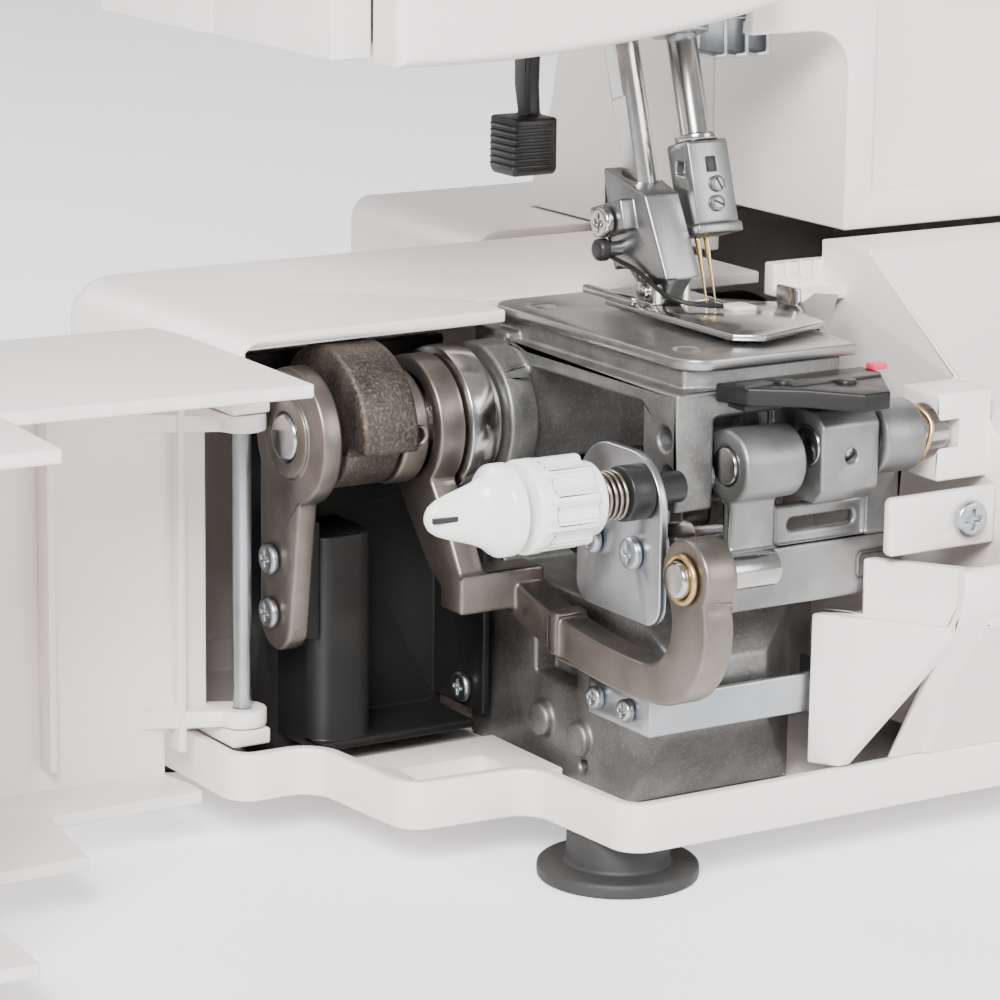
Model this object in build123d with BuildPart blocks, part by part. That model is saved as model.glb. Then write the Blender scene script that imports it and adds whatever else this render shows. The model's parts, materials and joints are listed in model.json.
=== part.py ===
"""Domestic overlock machine (serger) with its side door swung open.

Millimetres, +Z up, operator at -Y, +X to the operator's right. Every sub-part is modelled about
the needle's drop point on the floor and is written relative to the middle of the footprint.
"""
from build123d import *
from math import acos, atan2, cos, degrees, radians, sin
import os

# Driving dimensions -----------------------------------------------------------------------------
FOOT_H = 11.0                       # rubber feet lift the tray this far off the table
WALL = 3.0                          # moulded wall thickness
LEFT, RIGHT = -112.0, 172.0         # outer faces of the casing
BED_FRONT, BED_BACK, REAR = -52.0, 115.0, 182.0
RIM_TOP = 22.0                      # top of the tray's rim
TABLE_TOP = 117.0                   # cloth level, flush with the needle plate
ARM_BOTTOM, ARM_TOP = 178.0, 292.0
ARM_LEFT, ARM_FRONT, ARM_SPLIT, ARM_BACK = -96.0, 8.0, 62.0, 118.0
PILLAR_LEFT = 42.0
CAST_LEFT, CAST_RIGHT = -42.0, 2.0  # die-cast bed
PLATE_T = 2.5                       # needle plate thickness
SHAFT_Y, SHAFT_Z, SHAFT_R = 24.5, 93.3, 5.4      # main shaft axis, parallel to X
BAR_TILT = 17.0                     # needle and presser bars lean back by this angle
ADJ_Y, ADJ_Z = -49.0, 91.0          # cutting-width adjuster axis, parallel to X
PIN_Y, PIN_Z = -65.2, 75.4          # looper drive pin, parallel to X
LOOPER_PINS = ((-5.0, 72.0), (-20.0, 70.0))     # (y, z) of the lower and upper looper pivots
KNIFE_Y, KNIFE_Z = -52.0, 97.0      # upper knife shaft, parallel to X
MOTOR_Y, MOTOR_Z = 148.0, 62.0      # motor axis, parallel to X
HINGE_X, HINGE_Y = -104.0, 33.5     # side door hinge, vertical
DOOR_OPEN = 94.0                    # angle of the door as it stands open
KNUCKLES = (26.0, 98.0)             # outer faces of the door's two hinge knuckles
LEVER_X, LEVER_Y, LEVER_Z = -3.0, 75.0, 186.0    # presser lifter pivot, parallel to X
HANDLE_Y, HANDLE_Z = 84.0, ARM_TOP + 5.5         # carrying handle's pivot, parallel to X
INLET_Y = 92.0                      # mains inlet and rocker on the right-hand side
DIAL_X, DIAL_Z = (64.0, 90.0, 116.0, 142.0), 206.0      # thread tension dials on the front
RUN = 0.05                          # radial running clearance of shafts
PRESS = 0.02                        # shafts and hubs on one body stand this far clear
FOOTPRINT_CENTRE = (-13.63, 53.0)    # middle of the footprint in the needle's frame

BAR_AXIS = (0, sin(radians(BAR_TILT)), cos(radians(BAR_TILT)))

os.makedirs("parts", exist_ok=True)


def save(piece, name):
    """Label a finished piece and write it relative to the middle of the footprint."""
    moved = piece.moved(Location((-FOOTPRINT_CENTRE[0], -FOOTPRINT_CENTRE[1], 0)))
    moved.label = name
    export_step(moved, f"parts/{name}.step")


def block(x, y, z, mode=Mode.ADD):
    """Add or cut the box between three pairs of limits."""
    middle = ((x[0] + x[1]) / 2, (y[0] + y[1]) / 2, (z[0] + z[1]) / 2)
    with Locations(middle):
        Box(x[1] - x[0], y[1] - y[0], z[1] - z[0], mode=mode)


def bar_x(x, y, z, radius, mode=Mode.ADD):
    """Add or cut a round bar parallel to X."""
    with BuildSketch(Plane.YZ.offset(x[0])) as disc:
        with Locations((y, z)):
            Circle(radius)
    extrude(disc.sketch, amount=x[1] - x[0], dir=(1, 0, 0), mode=mode)


def bar_y(x, y, z, radius, mode=Mode.ADD):
    """Add or cut a round bar parallel to Y."""
    with BuildSketch(Plane.XZ.offset(-y[1])) as disc:
        with Locations((x, z)):
            Circle(radius)
    extrude(disc.sketch, amount=y[1] - y[0], dir=(0, -1, 0), mode=mode)


def bar_z(x, y, z, radius, mode=Mode.ADD):
    """Add or cut an upright round bar."""
    with BuildSketch(Plane.XY.offset(z[0])) as disc:
        with Locations((x, y)):
            Circle(radius)
    extrude(disc.sketch, amount=z[1] - z[0], dir=(0, 0, 1), mode=mode)


def prism_x(x, points, radius=0, mode=Mode.ADD):
    """Add or cut a (y, z) outline drawn out along X."""
    with BuildSketch(Plane.YZ.offset(x[0])) as outline:
        Polygon(*points, align=None)
        if radius:
            fillet(outline.vertices(), radius)
    extrude(outline.sketch, amount=x[1] - x[0], dir=(1, 0, 0), mode=mode)


def prism_y(y, points, radius=0, mode=Mode.ADD):
    """Add or cut an (x, z) outline drawn out along Y."""
    with BuildSketch(Plane.XZ.offset(-y[1])) as outline:
        Polygon(*points, align=None)
        if radius:
            fillet(outline.vertices(), radius)
    extrude(outline.sketch, amount=y[1] - y[0], dir=(0, -1, 0), mode=mode)


def prism_z(z, points, radius=0, mode=Mode.ADD):
    """Add or cut an (x, y) outline drawn upwards."""
    with BuildSketch(Plane.XY.offset(z[0])) as outline:
        Polygon(*points, align=None)
        if radius:
            fillet(outline.vertices(), radius)
    extrude(outline.sketch, amount=z[1] - z[0], dir=(0, 0, 1), mode=mode)


def screw(head, shank_end, head_r, shank_r, head_t):
    """A pan-head cross-recess screw: head's underside at head, shank ending at shank_end."""
    start, end = Vector(*head), Vector(*shank_end)
    shank = end - start
    seat = Plane(origin=start, z_dir=-shank.normalized())
    with BuildPart() as made:
        with BuildSketch(seat):
            Circle(head_r)
        extrude(amount=head_t)
        fillet(made.faces().sort_by(lambda f: (f.center() - end).length)[-1].edges(), head_t * 0.45)
        with BuildSketch(seat):
            Circle(shank_r)
        extrude(amount=-shank.length)
        with BuildSketch(seat.offset(head_t)):
            Rectangle(head_r * 1.1, head_r * 0.28)
            Rectangle(head_r * 0.28, head_r * 1.1)
        extrude(amount=-head_t * 0.6, mode=Mode.SUBTRACT)
    return made.part


# Base tray --------------------------------------------------------------------------------------
# The plan steps in at the front left, where the side door's own floor swings round.
TRAY_PLAN = [(LEFT, BED_BACK), (LEFT, 22), (-92, 22), (-89, -14), (-58, -16), (-56, BED_FRONT),
             (RIGHT, BED_FRONT), (RIGHT, REAR), (5, REAR), (5, BED_BACK)]
with BuildPart() as base_tray:
    with BuildSketch(Plane.XY.offset(FOOT_H)) as plan:
        Polygon(*TRAY_PLAN, align=None)
        fillet(plan.vertices(), 7)
    extrude(amount=RIM_TOP - FOOT_H)
    with BuildSketch(Plane.XY.offset(FOOT_H + WALL)) as inside:
        Polygon(*TRAY_PLAN, align=None)
        fillet(inside.vertices(), 7)
        offset(amount=-WALL, mode=Mode.REPLACE)
    extrude(amount=RIM_TOP, mode=Mode.SUBTRACT)
    block((-85, -45), (-9, 21), (FOOT_H, 18))
    block((-78, -56), (-4, 8), (FOOT_H + WALL, 19), mode=Mode.SUBTRACT)
save(base_tray.part, "base_tray")

# Bed cover: the table to the left of the needle and the wall under it ------------------------------
with BuildPart() as bed_cover:
    with BuildSketch(Plane.XY.offset(RIM_TOP)) as plan:
        Polygon((LEFT, BED_BACK), (LEFT, 22), (-41, 24), (-41, 38), (40, 38), (40, BED_BACK),
                align=None)
        fillet(plan.vertices().sort_by(Axis.X)[:2].sort_by(Axis.Y)[-1:], 16)
    extrude(amount=TABLE_TOP - RIM_TOP)
    top_edges = bed_cover.faces().sort_by(Axis.Z)[-1].edges()
    fillet(top_edges.filter_by(lambda e: e.center().Y > 60 and e.center().X < 30), 9)
    block((LEFT + WALL, 41), (10, BED_BACK - WALL), (RIM_TOP, TABLE_TOP - WALL), mode=Mode.SUBTRACT)
    block((5, 41), (30, BED_BACK + 1), (RIM_TOP, TABLE_TOP - WALL), mode=Mode.SUBTRACT)
    block((LEFT - 1, -95), (10, 46), (RIM_TOP, 106), mode=Mode.SUBTRACT)
    for z in ((RIM_TOP, KNUCKLES[0] - 0.3), (KNUCKLES[1] + 0.3, 102)):
        prism_z(z, [(-109, 50), (-109, HINGE_Y - 5), (-99.4, HINGE_Y - 5), (-99.4, 50)])
        bar_z(HINGE_X, HINGE_Y, (z[0] - 1, z[1] + 1), 2.1 + PRESS, mode=Mode.SUBTRACT)
save(bed_cover.part, "bed_cover")

# Rear body: covers the motor behind the table and under the pillar --------------------------------
with BuildPart() as rear_cover:
    block((5.4, RIGHT), (BED_BACK + 0.4, REAR), (RIM_TOP, TABLE_TOP + 0.5))
    rounded = rear_cover.edges().filter_by(lambda e: e.center().X < 6 and e.center().Z > 60)
    fillet(rounded.filter_by(lambda e: e.center().Y > BED_BACK + 1), 10)
    block((5.4 + WALL, RIGHT - WALL), (BED_BACK + 0.4, REAR - WALL), (RIM_TOP, TABLE_TOP - WALL),
          mode=Mode.SUBTRACT)
    with Locations(*[(RIGHT, 150, 52 + 7 * i) for i in range(5)]):
        Box(4 * WALL, 34, 3, mode=Mode.SUBTRACT)
save(rear_cover.part, "rear_cover")

# Front housing: the belly to the right of the loopers ----------------------------------------------
BELLY = [(-12, 130), (-75, 86), (-75, 62), (BED_FRONT, RIM_TOP), (-20, RIM_TOP), (6, RIM_TOP), (6, 130)]
BELLY_INSIDE = [(-13, 126), (-72, 84.5), (-72, 62.8), (-48.8, RIM_TOP - 1), (7, RIM_TOP - 1), (7, 126)]
END_WALL = (34.0, 36.5)
with BuildPart() as front_housing:
    prism_x((15, RIGHT), BELLY)
    fillet(front_housing.edges().filter_by(Axis.X).filter_by(lambda e: e.center().Y < -70), 14)
    prism_x((END_WALL[1], RIGHT - WALL), BELLY_INSIDE, mode=Mode.SUBTRACT)
    prism_x((14, END_WALL[0]), BELLY_INSIDE, mode=Mode.SUBTRACT)
    block((14, END_WALL[0]), (-49, 7), (RIM_TOP - 1, 131), mode=Mode.SUBTRACT)
    block((14, END_WALL[0]), (-80, 7), (70.5, 131), mode=Mode.SUBTRACT)
    prism_z((RIM_TOP + 0.4, 57), [(-4, -45), (-0.8, -45), (20, -72.6), (16.6, -73.6)])
    prism_z((56, 70), [(4.4, -52), (7.6, -52), (22.5, -72.6), (18.6, -73.6)])
    prism_z((56, 57.6), [(3.5, -51), (22, -72.6), (30, -72.6), (30, -63)])
    prism_x((-6, 24), [(-49.5, 20), (-90, 20), (-90, 61), (-74.4, 61)], mode=Mode.SUBTRACT)
    block((20, 36), (5.2, 9), (117.6, 125.4))
    block((20, 36), (-4, 6), (117.6, 119.6))
    block((20, 35), (-57.3, -44), (86.4, 106))
    bar_x((19, 26), KNIFE_Y, KNIFE_Z, 6, mode=Mode.SUBTRACT)
    with Locations(*[(24 + 4 * i, 5.2, 124) for i in range(3)]):
        Box(1.2, 1.6, 4, mode=Mode.SUBTRACT)
save(front_housing.part, "front_housing")

# Arm and pillar shell, in front and rear halves ----------------------------------------------------
ARM_FACE = [(PILLAR_LEFT, 131), (RIGHT, 131), (RIGHT, ARM_TOP), (ARM_LEFT, ARM_TOP),
            (ARM_LEFT, ARM_BOTTOM), (PILLAR_LEFT, ARM_BOTTOM)]
ARM_INSIDE = [(PILLAR_LEFT + WALL, 120), (RIGHT - WALL, 120), (RIGHT - WALL, ARM_TOP - WALL),
              (ARM_LEFT + WALL, ARM_TOP - WALL), (ARM_LEFT + WALL, ARM_BOTTOM + WALL),
              (PILLAR_LEFT + WALL, ARM_BOTTOM + WALL)]
with BuildPart() as front_shell:
    prism_y((ARM_FRONT, ARM_SPLIT - 0.2), ARM_FACE)
    fillet(front_shell.edges().filter_by(Axis.Y).group_by(Axis.Z)[-1], 16)
    fillet(front_shell.edges().filter_by(Axis.Y).filter_by(
        lambda e: e.center().X < 50 and e.center().Z < 180 and e.center().X > 30
        and e.center().Z > 170), 10)
    prism_y((ARM_FRONT + WALL, ARM_SPLIT), ARM_INSIDE, mode=Mode.SUBTRACT)
    block((-30, 34), (ARM_FRONT + 4, ARM_SPLIT), (ARM_BOTTOM - 1, ARM_BOTTOM + 5), mode=Mode.SUBTRACT)
    with Locations(*[(x, ARM_FRONT, 250) for x in (64, 90, 116, 142)]):
        Box(3, 4 * WALL, 60, mode=Mode.SUBTRACT)
    block((-86, 14), (ARM_FRONT - 1, ARM_FRONT + 4), (ARM_BOTTOM - 1, 262), mode=Mode.SUBTRACT)
    block((50, 110), (ARM_FRONT, ARM_FRONT + 1.4), (140, 186), mode=Mode.SUBTRACT)
    for x in DIAL_X:
        bar_y(x, (ARM_FRONT - 1, ARM_FRONT + 5), DIAL_Z, 3 + RUN, mode=Mode.SUBTRACT)
    with Locations((-8, 24, ARM_TOP)):
        Cylinder(6.5, 4 * WALL, mode=Mode.SUBTRACT)
save(front_shell.part, "front_shell")

with BuildPart() as rear_shell:
    prism_y((ARM_SPLIT, ARM_BACK), [(PILLAR_LEFT, 118), (RIGHT, 118), *ARM_FACE[2:]])
    fillet(rear_shell.edges().filter_by(Axis.Y).group_by(Axis.Z)[-1], 16)
    fillet(rear_shell.edges().filter_by(Axis.Y).filter_by(
        lambda e: 30 < e.center().X < 50 and 170 < e.center().Z < 180), 10)
    prism_x((PILLAR_LEFT, RIGHT), [(110, 118), (146, 118), (135, 146), (128, 176), (123, 212),
                                   (ARM_BACK, 260), (110, 260)])
    prism_x((PILLAR_LEFT + WALL, RIGHT - WALL), [(112, 121), (142, 121), (131.6, 146), (124.8, 176),
                                                 (119.8, 212), (114.8, 256), (112, 256)],
            mode=Mode.SUBTRACT)
    prism_y((ARM_SPLIT - 1, ARM_BACK - WALL), ARM_INSIDE, mode=Mode.SUBTRACT)
    block((PILLAR_LEFT + WALL, RIGHT - WALL), (ARM_SPLIT - 1, ARM_BACK - WALL), (117, 122),
          mode=Mode.SUBTRACT)
    block((-16, 12), (ARM_SPLIT - 1, 113), (ARM_BOTTOM - 1, ARM_BOTTOM + 5), mode=Mode.SUBTRACT)
    for x in (6.0, 104.0):
        block((x, x + 6), (HANDLE_Y - 6, HANDLE_Y + 6), (ARM_TOP - 1, ARM_TOP + 11))
        bar_x((x - 1, x + 7), HANDLE_Y, HANDLE_Z, 2.5 + RUN, mode=Mode.SUBTRACT)
    block((RIGHT - WALL, RIGHT), (8.4, BED_BACK), (RIM_TOP, 119))
    block((RIGHT - WALL, RIGHT), (8.4, ARM_SPLIT), (117.6, 120), mode=Mode.SUBTRACT)
    bar_x((RIGHT - 4, RIGHT + 1), SHAFT_Y, SHAFT_Z, 12, mode=Mode.SUBTRACT)
    block((RIGHT - 4, RIGHT + 1), (INLET_Y - 14.2, INLET_Y + 14.2), (33.8, 80.2), mode=Mode.SUBTRACT)
save(rear_shell.part, "rear_shell")

# Face cover: the plate in front of the needle bar, with its lower edge arched -----------------------
with BuildPart() as face_cover:
    with BuildSketch(Plane.XZ.offset(-ARM_FRONT + 0.2)):
        with BuildLine():
            Polyline((14, 186), (14, 262), (-86, 262), (-86, 177))
            ThreePointArc((-86, 177), (-38, 178.5), (14, 186))
        make_face()
    extrude(amount=12)
    fillet(face_cover.faces().filter_by(Axis.Y).sort_by(Axis.Y)[0].edges(), 3)
    block((-83, 11), (-1, 9), (181, 259), mode=Mode.SUBTRACT)
    block((-76, 4), (-1, 9), (176, 182), mode=Mode.SUBTRACT)
save(face_cover.part, "face_cover")

# Carrying handle and its two pivots ---------------------------------------------------------------
with BuildPart() as carry_handle:
    bar_x((12.4, 103.6), HANDLE_Y, HANDLE_Z, 2.4)
    for x in (13.0, 97.0):
        block((x, x + 6), (HANDLE_Y - 2.4, HANDLE_Y + 26), (ARM_TOP + 1, ARM_TOP + 8))
    block((13, 103), (HANDLE_Y + 17, HANDLE_Y + 30), (ARM_TOP + 1, ARM_TOP + 11))
    fillet(carry_handle.edges().filter_by(Axis.X).filter_by(
        lambda e: e.center().Y > HANDLE_Y + 28), 2.5)
    bar_x((6, 110), HANDLE_Y, HANDLE_Z, 2.5)
save(carry_handle.part, "carry_handle")

# Thread tension dials and the discs behind them ----------------------------------------------------
for number, x in enumerate(DIAL_X, start=1):
    with BuildPart() as dial:
        bar_y(x, (-6, ARM_FRONT - 0.4), DIAL_Z, 10)
        fillet(dial.faces().sort_by(Axis.Y)[0].edges(), 1.5)
        with BuildSketch(Plane.XZ.offset(6)):
            with Locations((x, DIAL_Z)):
                with PolarLocations(10, 18):
                    Circle(0.8)
        extrude(amount=-13.6, mode=Mode.SUBTRACT)
        bar_y(x, (ARM_FRONT - 0.4, ARM_FRONT + 24), DIAL_Z, 3)
    save(dial.part, f"tension_dial_{number}")

with BuildPart() as thread_guides:
    block((54, 152), (ARM_FRONT + 20, ARM_FRONT + 34), (ARM_TOP, ARM_TOP + 1.5))
    for x in DIAL_X:
        block((x - 1, x + 1), (ARM_FRONT + 22, ARM_FRONT + 24), (ARM_TOP + 1.5, ARM_TOP + 10))
        block((x - 1, x + 7), (ARM_FRONT + 22, ARM_FRONT + 24), (ARM_TOP + 8, ARM_TOP + 10))
save(thread_guides.part, "thread_guide_bar")

# Presser pressure knob on top --------------------------------------------------------------------
with BuildPart() as pressure_knob:
    bar_z(-8, 24, (ARM_TOP - 14, ARM_TOP + 9), 6)
    fillet(pressure_knob.faces().sort_by(Axis.Z)[-1].edges(), 1.5)
save(pressure_knob.part, "pressure_knob")

# Inner frame: bed casting -------------------------------------------------------------------------
with BuildPart() as bed_casting:
    prism_z((FOOT_H + WALL + 0.5, 58), [(CAST_LEFT, 30), (CAST_LEFT, -28), (-36, -40), (-12, -40),
                                        (CAST_RIGHT, -30), (CAST_RIGHT, 30)])
    prism_x((CAST_LEFT - 1, CAST_RIGHT + 1), [(-29, 13), (-41, 36), (-41, 13)], mode=Mode.SUBTRACT)
    prism_x((CAST_LEFT - 1, CAST_RIGHT + 1), [(-41, 47), (-30, 59), (-41, 59)], mode=Mode.SUBTRACT)
    block((CAST_LEFT, CAST_RIGHT), (38 - 16, 36), (FOOT_H + WALL + 0.5, 112))
    bar_x((CAST_LEFT - 1, CAST_RIGHT + 1), SHAFT_Y, SHAFT_Z, 13, mode=Mode.SUBTRACT)
    block((CAST_LEFT, CAST_RIGHT), (-46, 34), (84, 110))
    prism_z((110, TABLE_TOP - PLATE_T), [(-38, 34), (-38, -42), (-30, -45), (2, -45), (2, 34)])
    bar_x((CAST_LEFT - 1, CAST_RIGHT + 1), SHAFT_Y, SHAFT_Z, SHAFT_R + RUN, mode=Mode.SUBTRACT)
    block((-32, -14), (-47, -40.5), (83, 104), mode=Mode.SUBTRACT)
    block((CAST_LEFT - 1, -14), (-33, 12), (83, 106), mode=Mode.SUBTRACT)
    block((-14.5, 3), (-34, 12), (80, 106), mode=Mode.SUBTRACT)
    block((-26, 3), (-30, 8), (105, 116), mode=Mode.SUBTRACT)
    block((-14, 3), (-47, -42), (83, 109), mode=Mode.SUBTRACT)
    bar_x((CAST_LEFT - 1, -22), -41.4, 99.7, 2.6, mode=Mode.SUBTRACT)
    bar_x((CAST_LEFT - 1, -22), ADJ_Y + 6.5, ADJ_Z, 3, mode=Mode.SUBTRACT)
    for y, z in ((3.5, 26.0), (-12.2, 25.3)):
        bar_x((CAST_LEFT - 2.4, CAST_LEFT), y, z, 4)
    bar_x((CAST_LEFT - 7.4, CAST_LEFT), SHAFT_Y, SHAFT_Z, 17)
    bar_x((CAST_LEFT - 8, CAST_LEFT + 1), SHAFT_Y, SHAFT_Z, SHAFT_R + RUN, mode=Mode.SUBTRACT)
    block((-6, CAST_RIGHT), (-26, 3), (57, 80))
    for y, z in LOOPER_PINS:
        bar_x((-7, CAST_RIGHT + 1), y, z, 3 + PRESS, mode=Mode.SUBTRACT)
    block((CAST_LEFT - 1, CAST_LEFT + 6), (-9, 8), (36, 46), mode=Mode.SUBTRACT)
    bar_x((CAST_LEFT - 1, CAST_LEFT + 6), -12.2, 19, 1.6, mode=Mode.SUBTRACT)
save(bed_casting.part, "bed_casting")

with BuildPart() as needle_plate:
    with BuildSketch(Plane.XY.offset(TABLE_TOP - PLATE_T)) as outline:
        Polygon((-39.5, 35), (-39.5, -46.5), (5, -46.5), (8, -20), (8, 35), align=None)
        fillet(outline.vertices().group_by(Axis.X)[0], 7)
        for x in (-13.5, -8.5, 1.5):
            with Locations((x, -11)):
                SlotOverall(34, 2.6, rotation=90, mode=Mode.SUBTRACT)
        with Locations((-2.5, -1)):
            SlotOverall(12, 4.4, rotation=90, mode=Mode.SUBTRACT)
    extrude(amount=PLATE_T)
    with Locations((-31, -34, TABLE_TOP), (-31, 24, TABLE_TOP)):
        CounterSinkHole(1.7, 3.4)
save(needle_plate.part, "needle_plate")

with BuildPart() as feed_dogs:
    for y in ((-12, 1), (-24, -13.6)):
        for x in (-13.5, -8.5):
            block((x - 0.9, x + 0.9), y, (107, TABLE_TOP + 0.1))
        block((-14.4, -7.6), y, (104, 107.5))
save(feed_dogs.part, "feed_dogs")

# Main shaft group ----------------------------------------------------------------------------------
with BuildPart() as main_shaft:
    bar_x((-99, RIGHT + 20), SHAFT_Y, SHAFT_Z, SHAFT_R)
    chamfer(main_shaft.faces().sort_by(Axis.X)[0].edges(), 0.8)
save(main_shaft.part, "main_shaft")

with BuildPart() as bearing_arm:
    with BuildSketch(Plane.YZ.offset(-97)) as arm_face:
        with Locations((SHAFT_Y, SHAFT_Z)):
            Circle(15.5)
        Polygon((19, 88), (38, 88), (38, 50), (24, 50), align=None)
        with Locations((31, 50)):
            Circle(7)
    extrude(amount=5)
    bar_x((-98.2, -90.5), SHAFT_Y, SHAFT_Z, 9.5)
    bar_x((-99, -90), SHAFT_Y, SHAFT_Z, SHAFT_R + RUN, mode=Mode.SUBTRACT)
    for z in (64.0, 51.5):
        bar_x((-98, -91), 32, z, 2, mode=Mode.SUBTRACT)
save(bearing_arm.part, "bearing_arm")

with BuildPart() as counterweight:
    with BuildSketch(Plane.YZ.offset(-89)) as sector:
        with Locations((SHAFT_Y, SHAFT_Z)):
            Circle(20)
        with Locations((SHAFT_Y + 4, SHAFT_Z - 22)):
            Rectangle(60, 40, mode=Mode.SUBTRACT)
        with Locations((SHAFT_Y, SHAFT_Z)):
            Circle(12.5)
    extrude(amount=14)
    bar_x((-90, -74), SHAFT_Y, SHAFT_Z, SHAFT_R + PRESS, mode=Mode.SUBTRACT)
save(counterweight.part, "counterweight")

with BuildPart() as shaft_collar:
    bar_x((-74.6, -68.4), SHAFT_Y, SHAFT_Z, 13)
    bar_x((-75, -68), SHAFT_Y, SHAFT_Z, SHAFT_R + PRESS, mode=Mode.SUBTRACT)
    bar_y(-71.5, (5, SHAFT_Y - 7), SHAFT_Z, 1.8, mode=Mode.SUBTRACT)
save(shaft_collar.part, "shaft_collar")

with BuildPart() as eccentric:
    bar_x((-68, -50), SHAFT_Y, SHAFT_Z, 9)
    bar_x((-59.6, -53), SHAFT_Y, SHAFT_Z, 17)
    bar_x((-52.6, -50), SHAFT_Y, SHAFT_Z, 14)
    bar_x((-69, -49), SHAFT_Y, SHAFT_Z, SHAFT_R + PRESS, mode=Mode.SUBTRACT)
save(eccentric.part, "shaft_eccentrics")

# Looper drive rod: ring round the eccentric, curved arm, boss on the front pin -----------------------
with BuildPart() as drive_rod:
    bar_x((-67, -60.4), SHAFT_Y, SHAFT_Z, 15.5)
    prism_x((-67, -60.4), [(30, 80), (15, 84), (6, 72), (0, 62), (2, 54), (14, 62)])
    block((-67, -45), (0, 9), (54, 63))
    with BuildSketch(Plane.YZ.offset(-52.5)) as curved:
        with BuildLine():
            under = Spline((9, 54), (-14, 47.5), (-36, 45), (-54, 45.5))
            hook = ThreePointArc((-54, 45.5), (-70, 54), (-71.5, 72))
            Line((-71.5, 72), (-59, 70))
            inside_hook = ThreePointArc((-59, 70), (-59, 59), (-50, 53.5))
            over = Spline((-50, 53.5), (-30, 54), (-10, 57), (9, 63))
            Line((9, 63), (9, 54))
        make_face()
    extrude(curved.sketch, amount=7.5, dir=(1, 0, 0))
    bar_x((-52.5, -44.5), PIN_Y, PIN_Z, 8.4)
    block((-53.4, -45), (-18, -14), (47, 57))
    bar_x((-54, -43), PIN_Y, PIN_Z, 4 + RUN, mode=Mode.SUBTRACT)
    bar_x((-68, -60), SHAFT_Y, SHAFT_Z, 11.6, mode=Mode.SUBTRACT)
save(drive_rod.part, "looper_drive_rod")

with BuildPart() as fixed_pins:
    bar_x((-55.5, -30), PIN_Y, PIN_Z, 4)
    chamfer(fixed_pins.faces().sort_by(Axis.X)[0].edges(), 0.6)
    bar_x((-41, CAST_RIGHT), *LOOPER_PINS[0], 3)
    bar_x((-30, CAST_RIGHT), *LOOPER_PINS[1], 3)
    bar_x((-31.6, -14.5), -49, 94, 4.2 - PRESS)
save(fixed_pins.part, "fixed_pins")

# Looper cranks inside the bed ------------------------------------------------------------------------
with BuildPart() as lower_looper:
    bar_x((-40, -33), *LOOPER_PINS[0], 6)
    prism_x((-39, -35), [(-8, 76.5), (-2, 77), (-9, 88), (-22, 94), (-24, 91.5), (-12, 84)])
    bar_x((-41, -32), *LOOPER_PINS[0], 3 + RUN, mode=Mode.SUBTRACT)
save(lower_looper.part, "lower_looper")

with BuildPart() as upper_looper:
    bar_x((-29, -21), *LOOPER_PINS[1], 5.5)
    prism_x((-27, -23), [(-22, 74), (-17, 74.5), (-20, 92), (-10, 102), (-12, 103.5), (-24, 94)])
    bar_x((-30, -20), *LOOPER_PINS[1], 3 + RUN, mode=Mode.SUBTRACT)
save(upper_looper.part, "upper_looper")

# Cutting-width and stitch-length adjusters in front of the loopers -----------------------------------
with BuildPart() as adjuster_plate:
    with BuildSketch(Plane.YZ.offset(-52.5)) as face:
        Polygon((-24, 62), (-24, 99), (-56, 99), (-56, 62), align=None)
        upper_corners = face.vertices().group_by(Axis.Y)[-1]
        fillet(upper_corners, 12)
        fillet(face.vertices().group_by(Axis.Y)[0], 5)
    extrude(amount=2)
    bar_x((-54, -50), ADJ_Y, ADJ_Z, 3.4 + RUN, mode=Mode.SUBTRACT)
    for y in (-31.5, -46.5):
        bar_x((-54, -50), y, 77, 1.6, mode=Mode.SUBTRACT)
    block((-50.5, CAST_LEFT - 0.1), (-42, -30), (84.5, 86.5))
save(adjuster_plate.part, "adjuster_plate")

with BuildPart() as adjuster_shaft:
    bar_x((-88, -43), ADJ_Y, ADJ_Z, 3.4)
    bar_x((-58.5, -52.8), ADJ_Y, ADJ_Z, 6)
save(adjuster_shaft.part, "adjuster_shaft")

with BuildPart() as scalloped_knob:
    bar_x((-84, -69), ADJ_Y, ADJ_Z, 10)
    with BuildSketch(Plane.YZ.offset(-80)):
        with Locations((ADJ_Y, ADJ_Z)):
            with PolarLocations(11.4, 10):
                Circle(2.6)
    extrude(amount=12, mode=Mode.SUBTRACT)
    bar_x((-69, -66), ADJ_Y, ADJ_Z, 8)
    bar_x((-85, -65), ADJ_Y, ADJ_Z, 3.4 + RUN, mode=Mode.SUBTRACT)
save(scalloped_knob.part, "scalloped_knob")

with BuildPart() as pointer_knob:
    bar_x((-94, -86.5), ADJ_Y, ADJ_Z, 9.8)
    fillet(pointer_knob.faces().sort_by(Axis.X)[0].edges(), 3)
    prism_z((ADJ_Z - 5, ADJ_Z + 5), [(-106, ADJ_Y - 3), (-93, ADJ_Y - 8), (-90, ADJ_Y + 8),
                                     (-97, ADJ_Y + 6), (-106, ADJ_Y + 3)])
    bar_x((-88.2, -85), ADJ_Y, ADJ_Z, 3.4 + PRESS, mode=Mode.SUBTRACT)
save(pointer_knob.part, "pointer_knob")

with BuildPart() as adjuster_spring:
    with BuildLine():
        Helix(pitch=1.35, height=5.4, radius=5.0)
    with BuildSketch(Plane(origin=(5.0, 0, 0), x_dir=(1, 0, 0), z_dir=(0, 1, 0))):
        Circle(0.45)
    sweep(is_frenet=True)
along_x = Location((-64.8, ADJ_Y, ADJ_Z), (0, 90, 0))
save(adjuster_spring.part.moved(along_x), "adjuster_spring")

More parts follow.
